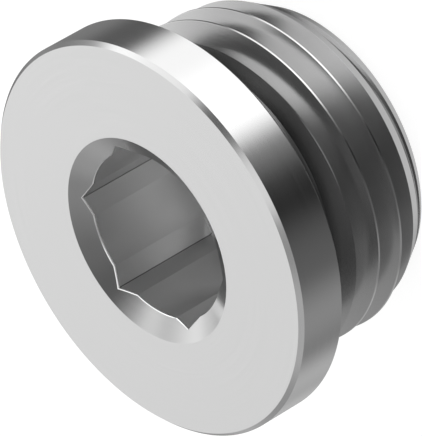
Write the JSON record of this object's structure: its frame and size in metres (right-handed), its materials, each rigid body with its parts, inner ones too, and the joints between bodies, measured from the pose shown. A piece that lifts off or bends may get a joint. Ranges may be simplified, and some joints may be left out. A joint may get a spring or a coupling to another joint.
{
  "type": "screw plug",
  "caption": "Screw plug with a round collar, an outside pipe thread behind a relief groove and a hexagon socket in its face; it closes a threaded port.",
  "frame": {"origin": "centre of the threaded end face, which the plug stands on", "axes": "+Z along the thread's axis, out of the hexagon socket; +X through one corner of the hexagon"},
  "size_m": [0.025, 0.025, 0.0135],
  "materials": {
    "plated_steel": "smooth turned, bright plated"
  },
  "bodies": {
    "root": {"plug_body": "plated_steel"}
  },
  "joints": []
}
